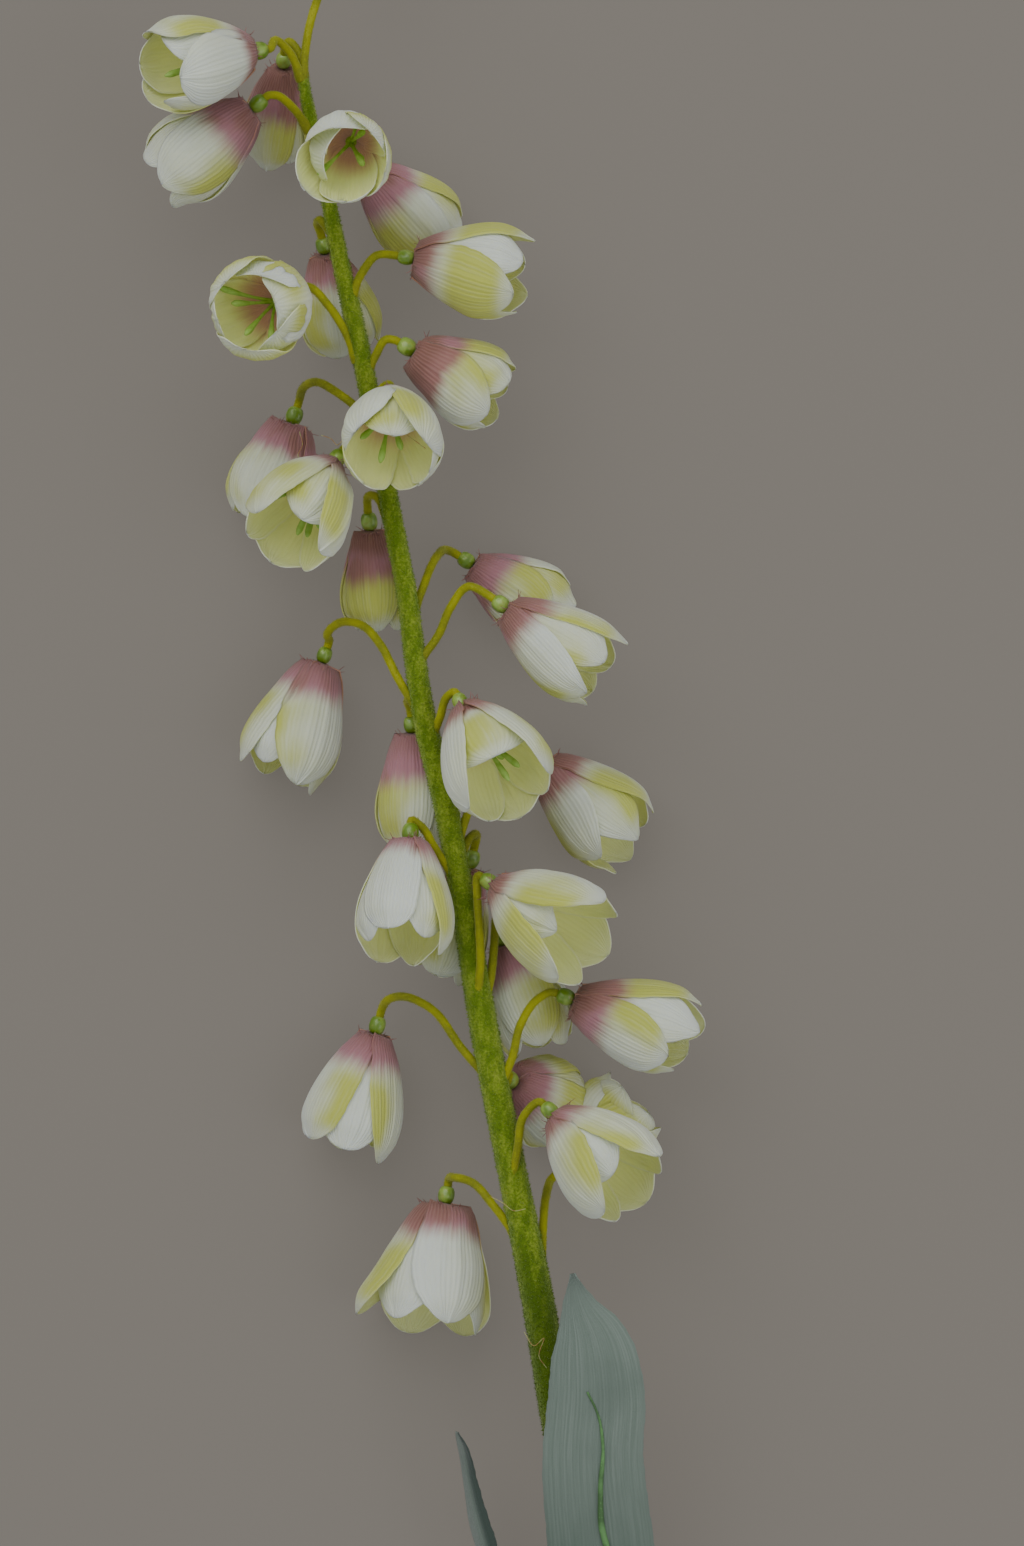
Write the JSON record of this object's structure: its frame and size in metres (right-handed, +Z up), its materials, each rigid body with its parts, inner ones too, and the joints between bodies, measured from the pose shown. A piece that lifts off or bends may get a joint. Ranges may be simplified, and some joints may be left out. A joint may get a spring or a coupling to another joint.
{
  "type": "artificial fritillary flower spray",
  "caption": "Cut spray of nodding six-petalled bells on arched pedicels along one flocked stem, with two lance-shaped leaves, lying on its back.",
  "frame": {"origin": "centre of the lying spray's box, on the surface it rests on", "axes": "+Y along the spray from the cut end of the stem to the tip, +X across it, +Z up out of the surface"},
  "size_m": [0.1884, 0.7104, 0.0899],
  "materials": {
    "flocked_green": "short green flock over a wire core, dull and dusty",
    "pedicel_green": "olive coated wire, satin",
    "bead_green": "translucent-looking jade green bead, glossy",
    "stamen_green": "pale green soft plastic, satin",
    "petal_cloth": "printed woven cloth, cream with mauve shoulder and yellow-green margin, pressed ribs",
    "leaf_cloth": "grey-green woven cloth with pressed veins",
    "midrib_green": "green coated wire rib"
  },
  "bodies": {
    "root": {"stem": "flocked_green", "bell_01": "petal_cloth", "bell_02": "petal_cloth", "bell_03": "petal_cloth", "bell_04": "petal_cloth", "bell_05": "petal_cloth", "bell_06": "petal_cloth", "bell_07": "petal_cloth", "bell_08": "petal_cloth", "bell_09": "petal_cloth", "bell_10": "petal_cloth", "bell_11": "petal_cloth", "bell_12": "petal_cloth", "bell_13": "petal_cloth", "bell_14": "petal_cloth", "bell_15": "petal_cloth", "bell_16": "petal_cloth", "bell_17": "petal_cloth", "bell_18": "petal_cloth", "bell_19": "petal_cloth", "bell_20": "petal_cloth", "bell_21": "petal_cloth", "bell_22": "petal_cloth", "bell_23": "petal_cloth", "bell_24": "petal_cloth", "bell_25": "petal_cloth", "bell_26": "petal_cloth", "bell_27": "petal_cloth", "bell_28": "petal_cloth", "bell_29": "petal_cloth", "bud_tip": "petal_cloth", "leaf_large": "leaf_cloth", "leaf_small": "leaf_cloth"}
  },
  "joints": []
}
